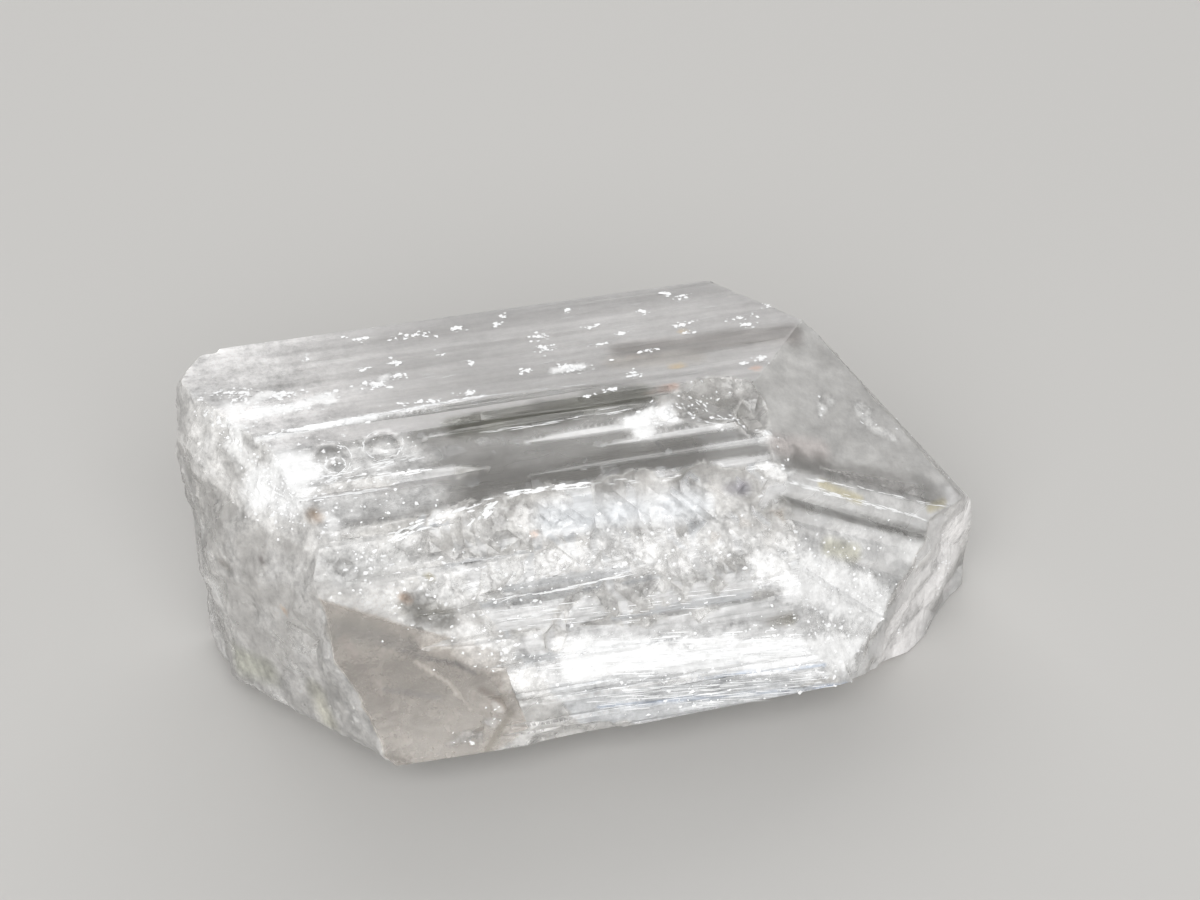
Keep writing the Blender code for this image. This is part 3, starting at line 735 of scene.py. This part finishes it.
def build_crystal():
    """The crystal itself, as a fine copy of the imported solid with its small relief."""
    bm = cad_bmesh()
    places, triangles, kinds = fine_mesh(bm)
    bm.free()
    kinds = crumbled(places, triangles, kinds)
    normals = vertex_normals(places, triangles)
    sharp = edge_sharpness(places, triangles, normals)
    at = kinds_by_vertex(len(places), triangles, kinds)
    white, crushed = milk_and_light_shares(places, at)
    flat_normals = unit(triangle_normals(places, triangles))
    height = relief(places, normals, at, crushed)
    other = at["broken"] | at["tip"] | at["wedge"]
    sharp = sharp * (other & ~at["hidden"])
    height = np.where(at["hidden"], 0.0, height - EDGE_WEAR * sharp)
    colours = stain_and_painted_light_colours(places, at, crushed)
    places = places + normals * height[:, None]
    places[:, 2] = np.maximum(places[:, 2], 0.0)
    mesh = bpy.data.meshes.new("crystal")
    mesh.from_pydata(places * MM, [], triangles.tolist())
    mesh.update()
    add_float(mesh, "white", np.maximum(white, 0.5 * sharp))
    add_float(mesh, "grown", np.where(at["tip_top"], 0.7, at["grown"] | at["hidden"]))
    add_float(mesh, "crush", crushed)
    add_float(mesh, "speck", speckle(places, at, crushed))
    add_float(mesh, "frost", by_face(at, len(places), OTHER_FROST, FACE_FROST))
    add_colour(mesh, "stain_and_painted_light", colours)
    mesh.shade_smooth()
    keep_edges_sharp(mesh, flat_normals, kinds == "broken")
    crystal = bpy.data.objects.new("crystal", mesh)
    bpy.context.scene.collection.objects.link(crystal)
    mesh.materials.append(crystal_material())
    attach(crystal, "root")
    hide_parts(NODE)
    return places, triangles


def object_noise(tree, scale, detail=4.0, stretch=(1, 1, 1), harsh=0.5):
    """Noise that is fixed to the crystal, with its grain stretched along the axes."""
    coords = tree.nodes.new("ShaderNodeTexCoord")
    mapping = tree.nodes.new("ShaderNodeMapping")
    mapping.inputs["Scale"].default_value = stretch
    texture = tree.nodes.new("ShaderNodeTexNoise")
    texture.inputs["Scale"].default_value = scale
    texture.inputs["Detail"].default_value = detail
    texture.inputs["Roughness"].default_value = harsh
    tree.links.new(coords.outputs["Object"], mapping.inputs["Vector"])
    tree.links.new(mapping.outputs["Vector"], texture.inputs["Vector"])
    return texture.outputs["Fac"]


def attribute(tree, name, output="Fac"):
    """A value that is stored per vertex."""
    node = tree.nodes.new("ShaderNodeAttribute")
    node.attribute_name = name
    return node.outputs[output]


def feed(tree, value, socket):
    """Sets a socket to a number, or links it to another node's output."""
    if isinstance(value, (int, float)):
        socket.default_value = value
    else:
        tree.links.new(value, socket)


def maths(tree, operation, first, second):
    """One sum of two numbers or outputs."""
    node = tree.nodes.new("ShaderNodeMath")
    node.operation = operation
    feed(tree, first, node.inputs[0])
    feed(tree, second, node.inputs[1])
    return node.outputs["Value"]


def spread(tree, value, low, high, to_low, to_high):
    """Stretches a range of values over another range, and holds them within it."""
    node = tree.nodes.new("ShaderNodeMapRange")
    tree.links.new(value, node.inputs["Value"])
    for name, number in (("From Min", low), ("From Max", high), ("To Min", to_low), ("To Max", to_high)):
        node.inputs[name].default_value = number
    return node.outputs["Result"]


def by_grain(tree, grown, elsewhere):
    """One value on the grown faces, whose grain runs along x, and another elsewhere."""
    mix = tree.nodes.new("ShaderNodeMix")
    tree.links.new(attribute(tree, "grown"), mix.inputs["Factor"])
    feed(tree, elsewhere, mix.inputs["A"])
    feed(tree, grown, mix.inputs["B"])
    return mix.outputs["Result"]


def whiteness(tree):
    """White share of the surface: soft milk everywhere, and crisp crush where it is strong."""
    soft_grain = by_grain(tree, object_noise(tree, 900.0, 6.0, (0.05, 1, 1), 0.6),
                          object_noise(tree, 900.0, 6.0, (1, 1, 1), 0.65))
    fine_grain = by_grain(tree, object_noise(tree, 2200.0, 6.0, (0.25, 1, 1), 0.75),
                          object_noise(tree, 2400.0, 6.0, (1, 1, 1), 0.75))
    uneven = spread(tree, soft_grain, 0.32, 0.68, 0.70, 1.30)
    soft = maths(tree, "MULTIPLY", attribute(tree, "white"), uneven)
    level = maths(tree, "ADD", maths(tree, "MULTIPLY", attribute(tree, "crush"), 0.55), fine_grain)
    crisp = spread(tree, level, 0.80, 0.96, 0.0, 0.97)
    return maths(tree, "MAXIMUM", soft, crisp), crisp


def mottled_colour(tree):
    """The colours of stains and painted light, streaky on the grown faces, and uneven where the grain
    shows.
    """
    streaks = spread(tree, object_noise(tree, 1500.0, 6.0, (0.06, 1, 1), 0.7), 0.32, 0.68, 0.86, 1.10)
    patches = spread(tree, object_noise(tree, 700.0, 4.0, (1, 1, 1), 0.6), 0.32, 0.68, 0.70, -0.50)
    specks = spread(tree, object_noise(tree, 3200.0, 6.0, (1, 1, 1), 0.8), 0.34, 0.66, 0.75, -0.30)
    grain = maths(tree, "MULTIPLY", attribute(tree, "speck"), maths(tree, "ADD", patches, specks))
    uneven = maths(tree, "MULTIPLY", by_grain(tree, streaks, 1.0), maths(tree, "SUBTRACT", 1.0, grain))
    scale = tree.nodes.new("ShaderNodeVectorMath")
    scale.operation = "SCALE"
    tree.links.new(attribute(tree, "stain_and_painted_light", "Vector"), scale.inputs[0])
    tree.links.new(uneven, scale.inputs["Scale"])
    return scale.outputs["Vector"]


def surface_height(tree):
    """Height of the finest relief: lines along x on the grown faces, and grains elsewhere."""
    lines = maths(tree, "MULTIPLY", object_noise(tree, 3200.0, 4.0, (0.05, 1, 1)), 0.5)
    return by_grain(tree, lines, object_noise(tree, 2400.0, 9.0))


def crystal_material():
    """Danburite: plain glass values, milky to crushed white by zone, with a fine bump."""
    material = bpy.data.materials.new("danburite")
    material.use_nodes = True
    tree = material.node_tree
    shader = tree.nodes["Principled BSDF"]
    shader.inputs["IOR"].default_value = IOR
    white, crisp = whiteness(tree)
    clear = maths(tree, "SUBTRACT", 1.0, white)
    tree.links.new(clear, shader.inputs["Transmission Weight"])
    tree.links.new(mottled_colour(tree), shader.inputs["Base Color"])
    patches = spread(tree, object_noise(tree, 260.0, 3.0, (0.4, 1, 1)), 0.3, 0.7, 0.65, 1.35)
    rough = maths(tree, "MULTIPLY", patches, attribute(tree, "frost"))
    rough = maths(tree, "ADD", rough, maths(tree, "MULTIPLY", crisp, 0.10))
    tree.links.new(rough, shader.inputs["Roughness"])
    bump = tree.nodes.new("ShaderNodeBump")
    bump.inputs["Strength"].default_value = BUMP_STRENGTH
    bump.inputs["Distance"].default_value = BUMP_DISTANCE
    tree.links.new(surface_height(tree), bump.inputs["Height"])
    tree.links.new(bump.outputs["Normal"], shader.inputs["Normal"])
    absorb = tree.nodes.new("ShaderNodeVolumeAbsorption")
    absorb.inputs["Color"].default_value = ABSORPTION_COLOUR
    absorb.inputs["Density"].default_value = ABSORPTION_DENSITY
    tree.links.new(absorb.outputs["Volume"], tree.nodes["Material Output"].inputs["Volume"])
    return material


def chip_material():
    """Bright white of tiny chips, painted glints and cracks, a little glossy."""
    material = bpy.data.materials.new("chip_and_glint_white")
    material.use_nodes = True
    tree = material.node_tree
    shader = tree.nodes["Principled BSDF"]
    shader.inputs["Base Color"].default_value = CHIP_COLOUR
    rough = spread(tree, object_noise(tree, 2000.0, 2.0), 0.3, 0.7, 0.15, 0.45)
    tree.links.new(rough, shader.inputs["Roughness"])
    return material


def ragged_outline(centre, normal, line, along, across, rng):
    """An uneven six-sided outline round a centre, longer along a line."""
    side = unit(line - normal * (normal @ line))
    other = np.cross(normal, side)
    turn = rng.uniform(0, math.tau)
    points = []
    for step in range(6):
        angle = turn + step * math.tau / 6
        reach = rng.uniform(0.5, 1.25)
        points.append(centre + reach * (side * along * math.cos(angle) + other * across * math.sin(angle)))
    return points


class Outlines:
    """Flat outlines for one piece, placed by the crystal's surface."""

    def __init__(self, surface, seed):
        self.surface = surface
        self.rng = np.random.RandomState(seed)
        self.verts = []
        self.faces = []

    def add(self, points):
        first = len(self.verts)
        self.verts += points
        self.faces.append(list(range(first, first + len(points))))

    def link(self, name, material):
        """Makes the piece."""
        mesh = bpy.data.meshes.new(name)
        mesh.from_pydata(np.array(self.verts) * MM, [], self.faces)
        mesh.update()
        piece = bpy.data.objects.new(name, mesh)
        bpy.context.scene.collection.objects.link(piece)
        mesh.materials.append(material)
        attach(piece, "root")


def spot_by(start, end, spread_out, rng):
    """A random place near a line."""
    return Vector(start).lerp(Vector(end), rng.uniform(0, 1)) + Vector(rng.normal(0, spread_out, 3))


def lay_chip_or_glint(chips, spot, line, along, across, lean):
    """Lays a white chip or a painted glint on the surface nearest to a spot, unless an end of it would
    stand off the surface.
    """
    place, normal, _, reach = chips.surface.find_nearest(spot)
    if place is None or reach > CHIP_REACH or normal.z < -0.2:
        return
    for way in (-along, along):
        if chips.surface.find_nearest(place + Vector(line) * way)[3] > CHIP_OVERHANG:
            return
    tilted = unit(np.array(normal) + lean * np.array((0, -0.5, 1.0)) + chips.rng.normal(0, lean, 3))
    centre = np.array(place) + np.array(normal) * CHIP_LIFT
    chips.add(ragged_outline(centre, tilted, line, along, across, chips.rng))


def top_pit_glints(chips):
    """Clusters of white chips on the upper face, painted glints of its shallow pits."""
    rng = chips.rng
    for x, y, along, across, count in PIT_GLINT_FLECKS:
        for _ in range(2 * count):
            angle = rng.uniform(0, math.tau)
            reach = 1.3 * abs(rng.normal(0, 0.55))
            spot = Vector((x + along * reach * math.cos(angle), y + across * reach * math.sin(angle), 15.3))
            size = min(0.03 + rng.exponential(0.03), 0.13)
            lay_chip_or_glint(chips, spot, GRAIN, size * rng.uniform(1.0, 1.8), size, 0.1)


def crushed_chips(chips):
    """Chips strewn over the crushed zones."""
    rng = chips.rng
    for start, end, radius, _, share in MILK_AND_PAINTED_LIGHT:
        length = (Vector(end) - Vector(start)).length
        for _ in range(int(share ** 2 * (length + 2 * radius) * 2 * radius * 12)):
            spot = spot_by(start, end, radius * 0.6, rng)
            size = min(0.025 + rng.exponential(0.03), 0.10)
            lay_chip_or_glint(chips, spot, GRAIN, size * rng.uniform(1.0, 1.8), size, 0.35)


def glint_slivers(chips):
    """White slivers in lines along the grain, painted highlights."""
    rng = chips.rng
    for start, end, radius, long, thin, count in GLINTS:
        line = unit(np.array(end) - np.array(start))
        for _ in range(count):
            spot = spot_by(start, end, radius * 0.5, rng)
            along, across = rng.uniform(0.4, 1.2, 2) * (long, thin)
            lay_chip_or_glint(chips, spot, line, along, across, 0.03)


def ring_slivers(chips):
    """Slivers round the ring marks."""
    rng = chips.rng
    for centre, radius in RING_MARKS:
        for _ in range(36):
            turn = rng.uniform(0, math.tau)
            ring = radius * rng.uniform(0.90, 1.05)
            spot = Vector(centre) + ring * Vector((math.cos(turn), math.sin(turn), 0.3))
            line = np.array((-math.sin(turn), math.cos(turn), 0.0))
            lay_chip_or_glint(chips, spot, line, 0.13, 0.018, 0.03)


def build_chips_and_glints(surface, material):
    """White outlines lying on the surface: white grains of the crushed zones, painted glints and painted
    highlights.
    """
    chips = Outlines(surface, 11)
    top_pit_glints(chips)
    crushed_chips(chips)
    glint_slivers(chips)
    ring_slivers(chips)
    chips.link("surface_chips_and_glints", material)


def build_cracks(surface, material):
    """Small cracks inside the crystal under the strokes of milk and painted light, mostly lying flat."""
    cracks = Outlines(surface, 3)
    rng = cracks.rng
    for start, end, radius, share, _ in MILK_AND_PAINTED_LIGHT:
        length = (Vector(end) - Vector(start)).length
        for _ in range(int(share * (length + 2 * radius) * 2 * radius * 7)):
            place, normal, _, _ = surface.find_nearest(spot_by(start, end, radius * 0.7, rng))
            centre = np.array(place) - np.array(normal) * rng.uniform(*CRACK_DEPTH)
            size = 0.08 + rng.exponential(0.12)
            lean = unit(np.array((0, -0.25, 1.0)) + rng.normal(0, 0.45, 3))
            points = ragged_outline(centre, lean, GRAIN, size * rng.uniform(1, 2), size, rng)
            if all(is_inside(surface, Vector(p)) for p in points):
                cracks.add(points)
    cracks.link("inner_cracks", material)


def is_inside(surface, point):
    """Whether a point lies a little way inside the crystal."""
    near, outward, _, _ = surface.find_nearest(point)
    return (point - near).dot(outward) < -CRACK_MARGIN


def light(name, place, size, power, colour):
    data = bpy.data.lights.new(name, "AREA")
    data.shape = "RECTANGLE"
    data.size, data.size_y = size
    data.energy = power
    data.color = colour
    lamp = bpy.data.objects.new(name, data)
    lamp.location = place
    lamp.rotation_mode = "QUATERNION"
    lamp.rotation_quaternion = (Vector(LIGHT_TARGET) - Vector(place)).to_track_quat("-Z", "Y")
    bpy.context.scene.collection.objects.link(lamp)


def studio():
    """Soft light, a pale background and the floor."""
    scene = bpy.context.scene
    scene.view_settings.view_transform = "Standard"
    world = bpy.data.worlds.new("studio")
    scene.world = world
    world.use_nodes = True
    background = world.node_tree.nodes["Background"]
    background.inputs["Color"].default_value = BACKGROUND_COLOUR
    background.inputs["Strength"].default_value = BACKGROUND_STRENGTH
    for name, place, size, power, colour in LIGHTS:
        light(name, place, size, power, colour)
    build_floor()


def build_floor():
    bm = bmesh.new()
    bmesh.ops.create_grid(bm, x_segments=1, y_segments=1, size=FLOOR_HALF)
    mesh = bpy.data.meshes.new("floor")
    bm.to_mesh(mesh)
    bm.free()
    floor = bpy.data.objects.new("floor", mesh)
    floor.location.z = -FLOOR_DROP
    bpy.context.scene.collection.objects.link(floor)
    material = bpy.data.materials.new("floor")
    material.use_nodes = True
    shader = material.node_tree.nodes["Principled BSDF"]
    shader.inputs["Base Color"].default_value = FLOOR_COLOUR
    shader.inputs["Roughness"].default_value = FLOOR_ROUGHNESS
    mesh.materials.append(material)


def camera():
    """The camera at the photo's viewing angle."""
    forward = Vector((math.cos(VIEW_DOWN) * math.sin(VIEW_ROUND),
                      math.cos(VIEW_DOWN) * math.cos(VIEW_ROUND), -math.sin(VIEW_DOWN)))
    data = bpy.data.cameras.new("camera")
    data.lens = LENS
    data.sensor_width = SENSOR
    data.clip_start = 0.01
    data.clip_end = 10.0
    cam = bpy.data.objects.new("camera", data)
    cam.location = (VIEW_TARGET - forward * VIEW_DISTANCE) * MM
    cam.rotation_mode = "QUATERNION"
    cam.rotation_quaternion = forward.to_track_quat("-Z", "Y")
    bpy.context.scene.collection.objects.link(cam)
    bpy.context.scene.camera = cam


camera()
studio()
crystal_places, crystal_triangles = build_crystal()
crystal_surface = BVHTree.FromPolygons([Vector(p) for p in crystal_places], crystal_triangles.tolist())
white_chip_and_glint = chip_material()
build_chips_and_glints(crystal_surface, white_chip_and_glint)
build_cracks(crystal_surface, white_chip_and_glint)
